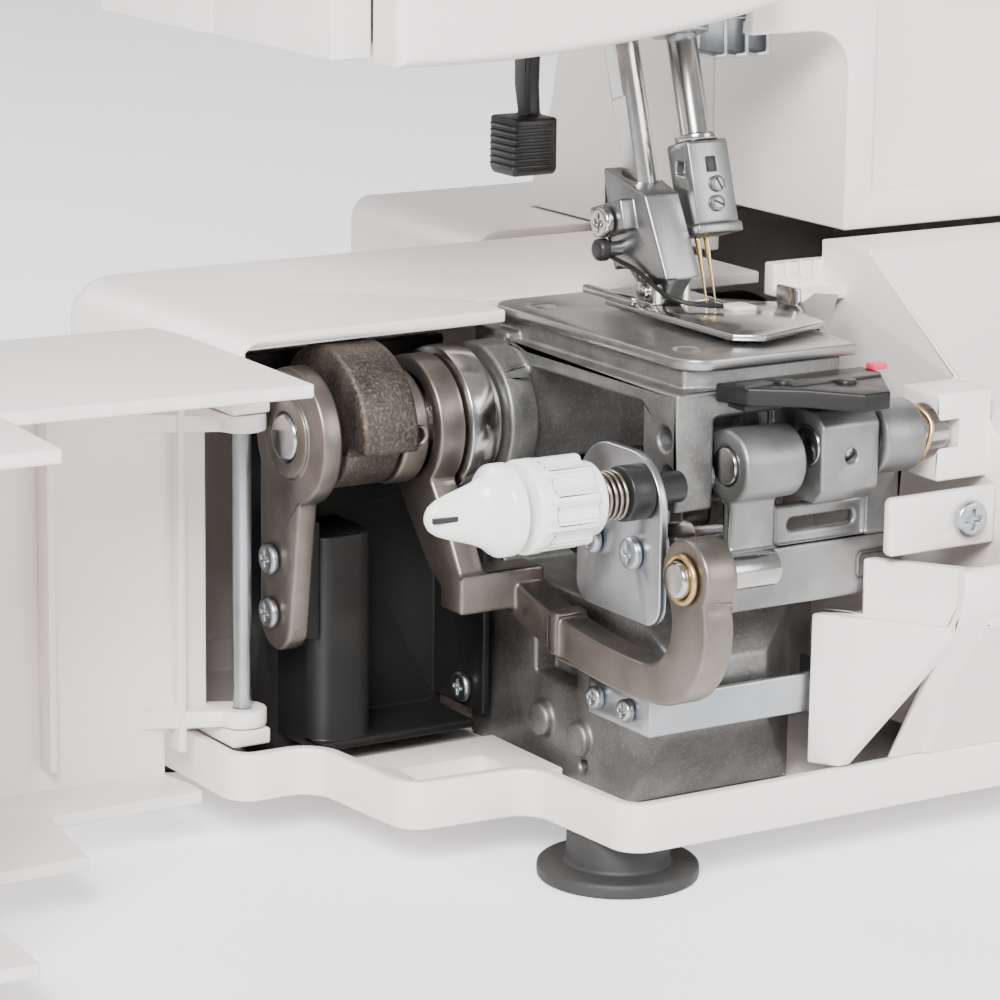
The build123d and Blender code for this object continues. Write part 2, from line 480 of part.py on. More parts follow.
# Knife group -------------------------------------------------------------------------------------------
with BuildPart() as knife_frame:
    block((-32, 17), (-51, -46.5), (61.5, 75))
    block((-30, 16), (-49.2, -46.5), (74, 83.6))
    block((-30, -18), (-50, -46.5), (74, 90))
    bar_x((-31, -15), -49, 94, 8)
    block((6, 16), (-50, -46.5), (74, 92))
    block((-14, 3.6), (-51, -46), (77.6, 80.4), mode=Mode.SUBTRACT)
    block((4, 15), (-51.5, -50.2), (65.5, 71), mode=Mode.SUBTRACT)
    bar_x((4, 15), KNIFE_Y, KNIFE_Z, 8)
    bar_x((-32, -14), -49, 94, 4.2, mode=Mode.SUBTRACT)
    bar_x((3, 17), KNIFE_Y, KNIFE_Z, 4.5 + RUN, mode=Mode.SUBTRACT)
save(knife_frame.part, "knife_frame")

with BuildPart() as knife_holder:
    block((-12, 3.4), (-58, -46.8), (84.6, 105))
    chamfer(knife_holder.edges().filter_by(Axis.X).group_by(Axis.Y)[0], 3)
    bar_y(-4, (-59, -50), 95, 1.6, mode=Mode.SUBTRACT)
    bar_x((-13, 4), KNIFE_Y, KNIFE_Z, 4.5 + PRESS, mode=Mode.SUBTRACT)
save(knife_holder.part, "knife_holder")

with BuildPart() as knife_shaft:
    bar_x((-12, 24), KNIFE_Y, KNIFE_Z, 4.5)
save(knife_shaft.part, "knife_shaft")

with BuildPart() as thread_plate:
    prism_z((108, 112), [(-33, -47), (-30, -55), (-20, -62), (-12, -72.4), (-5, -71.8), (6, -54), (6, -47.2)])
    block((-30, 4), (-54, -47.2), (106.5, 108))
    with Locations((-20, -54, 111), (-8, -60, 111)):
        Hole(1.8, depth=6)
save(thread_plate.part, "thread_guide_plate")

with BuildPart() as cross_bracket:
    block((-46, 6), (-44, -42.4), (34, 43))
    block((-46, -44.4), (-44, -20), (34, 43))
    block((4.4, 6), (-44, -30), (34, 43))
    for y in (-24, -36):
        bar_x((-47, -44), y, 38.5, 1.1, mode=Mode.SUBTRACT)
save(cross_bracket.part, "cross_bracket")

with BuildPart() as cover_catch:
    block((4.5, 33.8), (-61, -58.6), (72, 85))
    fillet(cover_catch.edges().filter_by(Axis.Y).group_by(Axis.X)[0], 1.5)
    bar_y(26, (-62, -58), 78.5, 1.7, mode=Mode.SUBTRACT)
save(cover_catch.part, "catch_bracket")

# Black sheet-steel frame behind the shafts --------------------------------------------------------------
with BuildPart() as steel_frame:
    block((-96, -44), (46, 49), (FOOT_H + WALL + 0.5, 108))
    block((-46, -44), (24, 46.5), (22, 74))
    block((-88, -72), (28, 46.5), (20, 68))
    fillet(steel_frame.edges().filter_by(Axis.Z).filter_by(lambda e: abs(e.center().Y - 28) < 1), 5)
    block((-88, -46), (27, 46.5), (18.2, 20.2))
    block((-91.9, -87), (28, 46.5), (45, 72))
    bar_x((-47, -43), 32, 27, 1.5, mode=Mode.SUBTRACT)
save(steel_frame.part, "steel_frame")

# Presser bar, foot and lifter --------------------------------------------------------------------------
bar_plane = Plane(origin=(-10, 13, 135), x_dir=(1, 0, 0), z_dir=BAR_AXIS)
with BuildPart() as presser_bar:
    with BuildSketch(bar_plane):
        Circle(4)
    extrude(amount=120)
    with BuildSketch(bar_plane.offset(8)):
        with Locations((-4.4, 0)):
            Rectangle(3, 9)
    extrude(amount=22, mode=Mode.SUBTRACT)
save(presser_bar.part, "presser_bar")

with BuildPart() as foot_ankle:
    prism_x((-16.4, -6.8), [(5.5, 144), (22.5, 148), (18, 127), (9, 120.6), (0, 120.6), (-4, 126)])
    with BuildSketch(bar_plane.offset(-0.5)):
        with Locations((-8.2, 1)):
            Rectangle(4, 13)
    extrude(amount=7)
    with BuildSketch(bar_plane.offset(-11)):
        Circle(4 + PRESS)
    extrude(amount=40, mode=Mode.SUBTRACT)
    bar_x((-22, -15), 14.5, 137, 1.8 + PRESS, mode=Mode.SUBTRACT)
    for x in ((-16.5, -13.6), (-9.2, -6)):
        block(x, (-5, 16), (118, 126), mode=Mode.SUBTRACT)
    bar_x((-22, -5), 4, 122.3, 1.4 + PRESS, mode=Mode.SUBTRACT)
save(foot_ankle.part, "foot_ankle")

ankle_screw = screw((-20.6, 14.5, 137), (-15.5, 14.5, 137), 3.6, 1.8, 2.2)
with BuildPart() as foot_fasteners:
    bar_x((-17.4, -6.4), 4, 122.3, 1.4)
    add(ankle_screw)
save(foot_fasteners.part, "foot_fasteners")

with BuildPart() as presser_foot:
    prism_z((118, 119.6), [(-21, 14), (-21, -36), (-15, -40), (6, -33), (18, -20), (14, -12), (2, 2),
                           (2, 14)])
    block((-16.6, -14), (0.5, 8), (119.6, 124.4))
    block((-8.8, -6.6), (0.5, 8), (119.6, 124.4))
    bar_x((-20, 0), 4, 122.3, 1.4 + RUN, mode=Mode.SUBTRACT)
    with Locations((-2.5, -2, 118)):
        Box(5, 9, 6, mode=Mode.SUBTRACT)
    block((11, 12.4), (-16, -8), (119.6, 123.6))
save(presser_foot.part, "presser_foot")

with BuildPart() as presser_lever:
    bar_x((LEVER_X - 3, LEVER_X + 3), LEVER_Y, LEVER_Z, 6)
    prism_x((LEVER_X - 2, LEVER_X + 2), [(72, 186), (79, 186), (79, 160), (76.5, 150), (72, 150),
                                         (73, 160)])
    block((LEVER_X - 8, LEVER_X + 4), (68, 80), (139, 153))
    fillet(presser_lever.edges().filter_by(Axis.X).group_by(Axis.Z)[0], 2)
    bar_x((LEVER_X - 4, LEVER_X + 4), LEVER_Y, LEVER_Z, 2.5 + RUN, mode=Mode.SUBTRACT)
save(presser_lever.part, "presser_lever")

with BuildPart() as lever_pin:
    bar_x((LEVER_X - 9, LEVER_X + 9), LEVER_Y, LEVER_Z, 2.5)
    block((LEVER_X + 5, LEVER_X + 9), (70, 80), (LEVER_Z - 4.8, LEVER_Z + 6))
    block((LEVER_X - 9, LEVER_X - 5), (70, 80), (LEVER_Z - 4.8, LEVER_Z + 6))
save(lever_pin.part, "lever_pivot")

# Needle bar ------------------------------------------------------------------------------------------------
needle_plane = Plane(origin=(0, 3, 135), x_dir=(1, 0, 0), z_dir=BAR_AXIS)
with BuildPart() as needle_bar:
    with BuildSketch(needle_plane.offset(22)):
        Circle(3.5)
    extrude(amount=110)
    with BuildSketch(needle_plane.offset(20.4)):
        Circle(5)
    extrude(amount=1.6)
save(needle_bar.part, "needle_bar")

with BuildPart() as needle_clamp:
    with BuildSketch(needle_plane.offset(1)):
        Rectangle(11, 8.6)
    extrude(amount=19.4)
    chamfer(needle_clamp.edges().filter_by(Axis.X), 0.6)
    with BuildSketch(needle_plane.offset(-1)):
        Rectangle(12.2, 9.6)
    extrude(amount=2.2)
    with BuildSketch(Plane(origin=(-6, 7, 149), x_dir=(0, 1, 0), z_dir=(1, 0, 0))):
        Rectangle(4, 3)
    extrude(amount=3, mode=Mode.SUBTRACT)
save(needle_clamp.part, "needle_clamp")

with BuildPart() as needles:
    for x in (-3.6, -1.2):
        with BuildSketch(Plane(origin=(x, 3, 135), x_dir=(1, 0, 0), z_dir=BAR_AXIS).offset(-1.2)):
            Circle(0.75)
        extrude(amount=-15.6, taper=2.4)
save(needles.part, "needles")

with BuildPart() as head_plate:
    block((-26, 30), (14, 60), (181.2, 183))
    for plane, radius in ((bar_plane.offset(44), 7), (needle_plane.offset(45), 6.5)):
        with BuildSketch(plane):
            Circle(radius)
        extrude(amount=9)
    for x in (12, 18, 24):
        block((x, x + 1.2), (16, 26), (172, 181.4))
        block((x - 2.5, x + 1.2), (16, 26), (172, 173.2))
    for plane, radius in ((bar_plane, 4), (needle_plane, 3.5)):
        with BuildSketch(plane.offset(30)):
            Circle(radius + RUN)
        extrude(amount=40, mode=Mode.SUBTRACT)
save(head_plate.part, "head_plate")

# Arm casting: carries the bars inside the arm and bolts to the pillar --------------------------------------
with BuildPart() as frame_casting:
    block((-30, 168), (50, 58), (200, 282))
    block((-30, 32), (32, 50), (200, 208))
    block((153, 166), (12, 58), (110, 282))
    bar_x((152, 167), SHAFT_Y, 150, 8, mode=Mode.SUBTRACT)
    for plane, radius in ((bar_plane, 4), (needle_plane, 3.5)):
        with BuildSketch(plane.offset(40)):
            Circle(radius + 0.3)
        extrude(amount=120, mode=Mode.SUBTRACT)
    block((60, 76), (12, 40), (FOOT_H + WALL + 0.5, 118))
    block((140, 156), (12, 40), (FOOT_H + WALL + 0.5, 118))
    block((60, 156), (34, 40), (FOOT_H + WALL + 0.5, 118))
    block((122, 142), (11, 41), (58, 119), mode=Mode.SUBTRACT)
    bar_x((59, 167), SHAFT_Y, SHAFT_Z, SHAFT_R + RUN, mode=Mode.SUBTRACT)
save(frame_casting.part, "frame_casting")

# Drive: motor, belt, pulleys and handwheel -------------------------------------------------------------------
BELT_X = (128.0, 136.0)
with BuildPart() as motor:
    bar_x((52, 120), MOTOR_Y, MOTOR_Z, 26)
    fillet(motor.edges().filter_by(GeomType.CIRCLE), 4)
    block((60, 112), (MOTOR_Y - 22, MOTOR_Y + 22), (FOOT_H + WALL + 0.2, 44))
    bar_x((51, 121), MOTOR_Y, MOTOR_Z, 4 + RUN, mode=Mode.SUBTRACT)
save(motor.part, "motor")

with BuildPart() as motor_rotor:
    bar_x((BELT_X[0] - 2, BELT_X[1] + 2), MOTOR_Y, MOTOR_Z, 9)
    with BuildSketch(Plane.YZ.offset(BELT_X[0])):
        with Locations((MOTOR_Y, MOTOR_Z)):
            Circle(12)
            Circle(7, mode=Mode.SUBTRACT)
    extrude(amount=BELT_X[1] - BELT_X[0], mode=Mode.SUBTRACT)
    bar_x((53, BELT_X[1] + 2), MOTOR_Y, MOTOR_Z, 4)
save(motor_rotor.part, "motor_rotor")

with BuildPart() as shaft_pulley:
    bar_x((BELT_X[0] - 2, BELT_X[1] + 2), SHAFT_Y, SHAFT_Z, 23)
    bar_x(BELT_X, SHAFT_Y, SHAFT_Z, 26, mode=Mode.SUBTRACT)
    bar_x(BELT_X, SHAFT_Y, SHAFT_Z, 21)
    bar_x((BELT_X[0] - 3, BELT_X[1] + 3), SHAFT_Y, SHAFT_Z, SHAFT_R + PRESS, mode=Mode.SUBTRACT)
save(shaft_pulley.part, "shaft_pulley")


def belt_loop(shaft_radius, motor_radius):
    """Outline of a loop drawn tight round both pulleys, in the (y, z) plane."""
    run = Vector(MOTOR_Y - SHAFT_Y, MOTOR_Z - SHAFT_Z)
    lean = degrees(acos((shaft_radius - motor_radius) / run.length))
    along = degrees(atan2(run.Y, run.X))
    corners = []
    for centre, radius, sides in (((SHAFT_Y, SHAFT_Z), shaft_radius, (lean, -lean)),
                                  ((MOTOR_Y, MOTOR_Z), motor_radius, (-lean, lean))):
        for side in sides:
            angle = radians(along + side)
            corners.append((centre[0] + radius * cos(angle), centre[1] + radius * sin(angle)))
    with BuildSketch(Plane.YZ.offset(BELT_X[0] + 1)) as loop:
        Polygon(*corners, align=None)
        with Locations((SHAFT_Y, SHAFT_Z)):
            Circle(shaft_radius)
        with Locations((MOTOR_Y, MOTOR_Z)):
            Circle(motor_radius)
    return loop.sketch


with BuildPart() as belt:
    extrude(belt_loop(23.2, 9.2), amount=BELT_X[1] - BELT_X[0] - 2, dir=(1, 0, 0))
    extrude(belt_loop(21.4, 7.4), amount=BELT_X[1] - BELT_X[0] - 2, dir=(1, 0, 0),
            mode=Mode.SUBTRACT)
save(belt.part, "drive_belt")

with BuildPart() as handwheel:
    bar_x((RIGHT + 3, RIGHT + 22), SHAFT_Y, SHAFT_Z, 36)
    fillet(handwheel.edges().filter_by(GeomType.CIRCLE), 3)
    with BuildSketch(Plane.YZ.offset(RIGHT + 3)):
        with Locations((SHAFT_Y, SHAFT_Z)):
            with PolarLocations(37, 36):
                Circle(1.4)
    extrude(amount=20, mode=Mode.SUBTRACT)
    bar_x((RIGHT + 18, RIGHT + 23), SHAFT_Y, SHAFT_Z, 24, mode=Mode.SUBTRACT)
    bar_x((RIGHT + 2, RIGHT + 24), SHAFT_Y, SHAFT_Z, SHAFT_R + PRESS, mode=Mode.SUBTRACT)
save(handwheel.part, "handwheel")

# Mains inlet and power rocker on the right-hand side -----------------------------------------------------------
with BuildPart() as inlet:
    block((RIGHT - 6, RIGHT + 2), (INLET_Y - 14, INLET_Y + 14), (34, 80))
    block((RIGHT - 3, RIGHT + 3), (INLET_Y - 9, INLET_Y + 9), (38, 50), mode=Mode.SUBTRACT)
    block((RIGHT - 5, RIGHT + 3), (INLET_Y - 8, INLET_Y + 8), (54, 76), mode=Mode.SUBTRACT)
    for y in (-4, 0, 4):
        bar_x((RIGHT - 4, RIGHT + 1), INLET_Y + y, 44, 1)
save(inlet.part, "power_inlet")

with BuildPart() as rocker:
    prism_y((INLET_Y - 7.5, INLET_Y + 7.5), [(RIGHT - 3, 55), (RIGHT + 0.5, 55), (RIGHT + 1.4, 65),
                                             (RIGHT + 4, 75), (RIGHT - 2, 75)])
save(rocker.part, "power_rocker")

# Rubber feet ------------------------------------------------------------------------------------------------------
FEET = [(-46, -33), (150, -33), (150, 160), (-92, 95)]
with BuildPart() as feet:
    for x, y in FEET:
        bar_z(x, y, (0, 3.4), 18 if (x, y) == FEET[0] else 14)
        bar_z(x, y, (3.4, FOOT_H), 11.5 if (x, y) == FEET[0] else 10)
save(feet.part, "rubber_feet")

# Screws of the frame, the adjuster plate, the cross bracket and the needle plate ----------------------------
FRAME_SCREWS = [(-97, 32, 64.0, 3.6), (-97, 32, 51.5, 3.6), (-52.5, -31.5, 77, 3.2),
                (-52.5, -46.5, 77, 3.6), (-46, -24, 38.5, 2.6), (-46, -36, 38.5, 2.6),
                (-46, 32, 27, 3.6)]
with BuildPart() as screws:
    for x, y, z, head_r in FRAME_SCREWS:
        add(screw((x, y, z), (x + 2, y, z), head_r, head_r * 0.4, 2.0))
    for y in (-34, 24):
        bar_z(-31, y, (TABLE_TOP - 2.4, TABLE_TOP - 0.2), 1.6)
        bar_z(-31, y, (TABLE_TOP - 0.9, TABLE_TOP - 0.2), 2.5)
    add(screw((26, -61, 78.5), (26, -58.9, 78.5), 4.2, 1.6, 2.4))
save(screws.part, "screws")

# Side door: one moulding, modelled shut and swung open about its hinge rod ------------------------------------------
DOOR_FLOOR = 12.0
DOOR_HINGE = Axis((HINGE_X, HINGE_Y, 0), (0, 0, 1))
with BuildPart() as door:
    prism_z((DOOR_FLOOR, TABLE_TOP), [(-112, 16), (-112, -57), (-96, -77.2), (-6, -77.2), (-6, 23),
                                      (-100, 19)])
    fillet(door.edges().filter_by(Axis.Z).filter_by(
        lambda e: e.center().Y < -50 and e.center().X < -90), 10)
    prism_z((DOOR_FLOOR + WALL, TABLE_TOP - WALL),
            [(-109, 30), (-109, -56), (-94.6, -74.2), (-5, -74.2), (-5, 30)], mode=Mode.SUBTRACT)
    block((-41.2, -5), (-48, 24), (100, 118), mode=Mode.SUBTRACT)
    prism_z((DOOR_FLOOR - 1, DOOR_FLOOR + WALL + 1), [(-94, 20), (-91, -18), (-62, -21), (-60, -54),
                                                     (-5, -54), (-5, 24), (-94, 24)],
            mode=Mode.SUBTRACT)
    block((-112, -112 + WALL), (10, 27), KNUCKLES)
    for z in ((KNUCKLES[0], KNUCKLES[0] + 4), (KNUCKLES[1] - 4, KNUCKLES[1])):
        bar_z(HINGE_X, HINGE_Y, z, 5.5)
        prism_z(z, [(-109.4, HINGE_Y), (-112, 27), (-112, 10), (-109, 10), (-103, 28.2), (-100, HINGE_Y)])
    bar_z(HINGE_X, HINGE_Y, (20, 110), 2.1 + RUN, mode=Mode.SUBTRACT)
save(door.part.rotate(DOOR_HINGE, -DOOR_OPEN), "side_door")

with BuildPart() as hinge_rod:
    bar_z(HINGE_X, HINGE_Y, (KNUCKLES[0] - 3.6, KNUCKLES[1] + 3.6), 2.1)
save(hinge_rod.part, "hinge_rod")
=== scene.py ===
import json
from math import cos, pi, radians, sin

import bmesh
import bpy
from mathutils import Matrix, Vector


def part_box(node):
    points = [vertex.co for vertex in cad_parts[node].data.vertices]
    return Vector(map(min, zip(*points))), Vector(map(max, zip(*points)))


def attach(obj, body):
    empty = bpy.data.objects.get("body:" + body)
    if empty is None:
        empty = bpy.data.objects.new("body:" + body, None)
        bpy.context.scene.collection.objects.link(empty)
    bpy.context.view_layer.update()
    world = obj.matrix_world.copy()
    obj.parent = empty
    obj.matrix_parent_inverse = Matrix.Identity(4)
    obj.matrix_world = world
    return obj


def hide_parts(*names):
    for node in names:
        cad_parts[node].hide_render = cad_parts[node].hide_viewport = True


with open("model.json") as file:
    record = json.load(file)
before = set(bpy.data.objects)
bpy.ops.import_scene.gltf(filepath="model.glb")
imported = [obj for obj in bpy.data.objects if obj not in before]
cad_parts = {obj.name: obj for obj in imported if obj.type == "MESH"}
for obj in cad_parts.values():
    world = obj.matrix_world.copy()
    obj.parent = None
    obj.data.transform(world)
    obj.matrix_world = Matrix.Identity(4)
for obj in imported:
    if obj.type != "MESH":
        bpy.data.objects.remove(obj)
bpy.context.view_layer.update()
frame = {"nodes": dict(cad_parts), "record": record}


# The casing: two halves of the arm, face cover, bed cover, rear body, front belly and base tray.
# Each is an injection moulding in warm off-white plastic with a very fine spark-eroded grain.
# Their edges are softly rounded where the mould halves were polished.
def finish(name, light, dark, metallic=0.0, rough=(0.4, 0.5), grain=900.0, bump=0.05, depth=0.0002,
           stretch=(1, 1, 1), patches=35.0, speck=None, shine=0.5):
    """A surface that varies in colour and gloss by patches and in relief by grain, and may be specked.

    grain and patches are texture scales per metre; depth is the relief's height in metres."""
    made = bpy.data.materials.new(name)
    made.use_nodes = True
    tree = made.node_tree
    shader = tree.nodes["Principled BSDF"]
    shader.inputs["Metallic"].default_value = metallic
    shader.inputs["Specular IOR Level"].default_value = shine
    place = tree.nodes.new("ShaderNodeTexCoord")
    turn = tree.nodes.new("ShaderNodeMapping")
    turn.inputs["Scale"].default_value = stretch
    tree.links.new(place.outputs["Object"], turn.inputs["Vector"])
    cloud = tree.nodes.new("ShaderNodeTexNoise")
    cloud.inputs["Scale"].default_value = patches
    cloud.inputs["Detail"].default_value = 5
    fine = tree.nodes.new("ShaderNodeTexNoise")
    fine.inputs["Scale"].default_value = grain
    fine.inputs["Detail"].default_value = 3
    for texture in (cloud, fine):
        tree.links.new(turn.outputs["Vector"], texture.inputs["Vector"])
    tone = tree.nodes.new("ShaderNodeValToRGB")
    tone.color_ramp.elements[0].position, tone.color_ramp.elements[1].position = 0.3, 0.7
    tone.color_ramp.elements[0].color = (*dark, 1)
    tone.color_ramp.elements[1].color = (*light, 1)
    tree.links.new(cloud.outputs["Fac"], tone.inputs["Fac"])
    colour = tone.outputs["Color"]
    if speck:
        dots = tree.nodes.new("ShaderNodeMix")
        dots.data_type = "RGBA"
        dots.inputs["B"].default_value = (*speck, 1)
        pick = tree.nodes.new("ShaderNodeMapRange")
        pick.inputs["From Min"].default_value, pick.inputs["From Max"].default_value = 0.5, 0.75
        tree.links.new(fine.outputs["Fac"], pick.inputs["Value"])
        tree.links.new(pick.outputs["Result"], dots.inputs["Factor"])
        tree.links.new(colour, dots.inputs["A"])
        colour = dots.outputs["Result"]
    tree.links.new(colour, shader.inputs["Base Color"])
    gloss = tree.nodes.new("ShaderNodeMapRange")
    gloss.inputs["To Min"].default_value, gloss.inputs["To Max"].default_value = rough
    tree.links.new(cloud.outputs["Fac"], gloss.inputs["Value"])
    tree.links.new(gloss.outputs["Result"], shader.inputs["Roughness"])
    relief = tree.nodes.new("ShaderNodeBump")
    relief.inputs["Strength"].default_value = bump
    relief.inputs["Distance"].default_value = depth
    tree.links.new(fine.outputs["Fac"], relief.inputs["Height"])
    tree.links.new(relief.outputs["Normal"], shader.inputs["Normal"])
    return made


def shown(name, mesh, material, body, smooth=38):
    """Put a finished mesh in the scene, riding on its body."""
    mesh.materials.clear()
    mesh.materials.append(material)
    mesh.shade_smooth()
    mesh.set_sharp_from_angle(angle=radians(smooth))
    piece = bpy.data.objects.new(name, mesh)
    bpy.context.scene.collection.objects.link(piece)
    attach(piece, body)
    return piece


def body_of_node(node):
    """The moving body that carries a frame node."""
    for body, nodes in frame["record"]["behaviour"]["bodies"].items():
        if node in nodes:
            return body


same_place = 2e-6           # corners closer than this are one corner
sharp = radians(32)         # edges that turn more than this are eased


def eased(node, material, width=0.0005, segments=2):
    """Stand in for a frame node with the same shape, its sharp edges eased by width."""
    shape = bmesh.new()
    shape.from_mesh(frame["nodes"][node].data)
    bmesh.ops.remove_doubles(shape, verts=shape.verts, dist=same_place)
    mesh = bpy.data.meshes.new(node + "_eased")
    shape.to_mesh(mesh)
    shape.free()
    piece = bpy.data.objects.new(node + "_blank", mesh)
    bpy.context.scene.collection.objects.link(piece)
    edge = piece.modifiers.new("edge", "BEVEL")
    edge.limit_method, edge.angle_limit = "ANGLE", sharp
    edge.width, edge.segments = width, segments
    edge.use_clamp_overlap, edge.loop_slide = False, False
    edge.miter_outer = "MITER_ARC"
    graph = bpy.context.evaluated_depsgraph_get()
    done = bpy.data.meshes.new_from_object(piece.evaluated_get(graph))
    bpy.data.objects.remove(piece)
    made = shown(node + "_part", done, material, body_of_node(node))
    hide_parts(node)
    return made


casing = finish("casing_plastic", (0.83, 0.775, 0.75), (0.795, 0.74, 0.712), rough=(0.34, 0.46),
                grain=2600, bump=0.06, depth=0.0001, patches=9)
for node in ("front_shell", "rear_shell", "bed_cover", "rear_cover", "front_housing", "base_tray"):
    eased(node, casing, 0.0006, 3)
eased("face_cover", casing, 0.0005, 3)


# The side door: one off-white moulding that swings on a plated rod, with knuckles and a floor lip.
# Two thin ribs stand on its hinge wall and stiffen it.
eased("side_door", casing, 0.0005, 2)


def boxes(name, limits, edge=0.0003, turn=None):
    """A mesh of small moulded blocks given as (x, y, z) limits in metres, with eased edges."""
    shape = bmesh.new()
    for x, y, z in limits:
        middle = Vector(((x[0] + x[1]) / 2, (y[0] + y[1]) / 2, (z[0] + z[1]) / 2))
        size = Matrix.Diagonal((x[1] - x[0], y[1] - y[0], z[1] - z[0], 1))
        bmesh.ops.create_cube(shape, size=1, matrix=Matrix.Translation(middle) @ size)
    bmesh.ops.bevel(shape, geom=list(shape.edges), offset=edge, segments=2, affect="EDGES",
                    profile=0.5)
    if turn:
        bmesh.ops.transform(shape, matrix=turn, verts=shape.verts)
    mesh = bpy.data.meshes.new(name)
    shape.to_mesh(mesh)
    shape.free()
    return mesh


def row_of_blocks(name, size, first, step, count, material, edge=0.0002):
    """Equal moulded bars repeated in a row by geometry nodes, the first at first, then by step."""
    tree = bpy.data.node_groups.new(name, "GeometryNodeTree")
    tree.interface.new_socket("Geometry", in_out="OUTPUT", socket_type="NodeSocketGeometry")
    for label, kind, value in (("Bar size", "NodeSocketVector", size),
                               ("Step", "NodeSocketVector", step),
                               ("First", "NodeSocketVector", first),
                               ("Count", "NodeSocketInt", count)):
        tree.interface.new_socket(label, in_out="INPUT", socket_type=kind).default_value = value
    tree.interface.new_socket("Material", in_out="INPUT", socket_type="NodeSocketMaterial")
    given = tree.nodes.new("NodeGroupInput")
    bar = tree.nodes.new("GeometryNodeMeshCube")
    line = tree.nodes.new("GeometryNodeMeshLine")
    copies = tree.nodes.new("GeometryNodeInstanceOnPoints")
    real = tree.nodes.new("GeometryNodeRealizeInstances")
    coat = tree.nodes.new("GeometryNodeSetMaterial")
    made = tree.nodes.new("NodeGroupOutput")
    link = tree.links.new
    link(given.outputs["Bar size"], bar.inputs["Size"])
    link(given.outputs["Count"], line.inputs["Count"])
    link(given.outputs["First"], line.inputs["Start Location"])
    link(given.outputs["Step"], line.inputs["Offset"])
    link(line.outputs["Mesh"], copies.inputs["Points"])
    link(bar.outputs["Mesh"], copies.inputs["Instance"])
    link(copies.outputs["Instances"], real.inputs["Geometry"])
    link(real.outputs["Geometry"], coat.inputs["Geometry"])
    link(given.outputs["Material"], coat.inputs["Material"])
    link(coat.outputs["Geometry"], made.inputs["Geometry"])
    holder = bpy.data.objects.new(name, bpy.data.meshes.new(name + "_seed"))
    bpy.context.scene.collection.objects.link(holder)
    grow = holder.modifiers.new("row", "NODES")
    grow.node_group = tree
    sockets = {item.name: item.identifier for item in tree.interface.items_tree}
    grow[sockets["Material"]] = material
    soften = holder.modifiers.new("edge", "BEVEL")
    soften.width, soften.segments = edge, 2
    graph = bpy.context.evaluated_depsgraph_get()
    mesh = bpy.data.meshes.new_from_object(holder.evaluated_get(graph))
    bpy.data.objects.remove(holder)
    return mesh


door_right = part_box("side_door")[1][0]
wall_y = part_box("hinge_rod")[1][1] + 0.0015
rib_size = (0.0018, 0.0055, 0.088)
first_rib = (door_right - 0.0511, wall_y + 0.00175, 0.0645)
rib_step = (0.032, 0, 0)
ribs = row_of_blocks("door_ribs_row", rib_size, first_rib, rib_step, 2, casing, edge=0.0004)
shown("door_ribs", ribs, casing, "side_door")
plated = finish("zinc_plating", (0.50, 0.53, 0.56), (0.37, 0.39, 0.41), metallic=1.0,
                rough=(0.24, 0.40), grain=700, bump=0.08, patches=60)
eased("hinge_rod", plated, 0.0003)


# The black painted sheet-steel frame behind the shafts, and the black plastic inner pieces.
# Its paint is satin and slightly uneven; the plastic pieces are a shade lighter.
black_paint = finish("black_paint", (0.008, 0.008, 0.009), (0.016, 0.015, 0.014), rough=(0.30, 0.48),
                     grain=1500, bump=0.1, depth=0.0001, patches=40, shine=0.28)
for node in ("steel_frame", "thread_guide_plate", "motor"):
    eased(node, black_paint, 0.0005)
black_plastic = finish("black_plastic", (0.014, 0.014, 0.014), (0.022, 0.021, 0.021),
                       rough=(0.3, 0.42), grain=2200, bump=0.08, depth=0.0001, shine=0.35)
for node in ("power_inlet", "power_rocker"):
    eased(node, black_plastic, 0.0004)


# The die-cast bed and the arm's casting: raw zinc-aluminium with the skin the die left on it.
# Flow marks, small pits and a dull grey bloom show all over.
casting = finish("raw_casting", (0.25, 0.247, 0.243), (0.165, 0.162, 0.158), metallic=0.88,
                 rough=(0.38, 0.56), grain=1500, bump=0.4, depth=0.0002, patches=160,
                 speck=(0.28, 0.276, 0.27))
for node in ("bed_casting", "frame_casting"):
    eased(node, casting, 0.0009, 3)


# The needle plate: ground and brushed steel, with slots for feed dogs and needles.
# The brushing runs from left to right, so the streaks lie along X.
plate_steel = finish("brushed_plate", (0.44, 0.437, 0.433), (0.34, 0.337, 0.333), metallic=1.0,
                     rough=(0.28, 0.42), grain=500, bump=0.12, depth=0.0001,
                     stretch=(0.05, 1.6, 1), patches=120)
eased("needle_plate", plate_steel, 0.0004)


# The main shaft and what turns with it: oiled, ground steel; the counterweight is sintered iron
# with a coarse, dark bronze grain.
oiled_steel = finish("oiled_steel", (0.27, 0.24, 0.215), (0.165, 0.145, 0.13), metallic=0.95,
                     rough=(0.30, 0.50), grain=800, bump=0.15, patches=80)
sintered = finish("sintered_iron", (0.115, 0.095, 0.08), (0.05, 0.043, 0.038), metallic=0.85,
                  rough=(0.42, 0.62), grain=1300, bump=0.9, depth=0.0004, patches=150,
                  speck=(0.19, 0.155, 0.13))
bright_steel = finish("bright_steel", (0.56, 0.55, 0.54), (0.42, 0.41, 0.40), metallic=1.0,
                      rough=(0.14, 0.26), grain=1000, bump=0.05, patches=90)
for node in ("shaft_collar", "bearing_arm", "looper_drive_rod"):
    eased(node, oiled_steel, 0.0008, 3)
for node in ("shaft_eccentrics", "main_shaft", "fixed_pins", "lever_pivot", "shaft_pulley",
             "motor_rotor", "knife_shaft"):
    eased(node, bright_steel, 0.0004)
eased("counterweight", sintered, 0.0012, 3)
eased("handwheel", casing, 0.0008, 3)


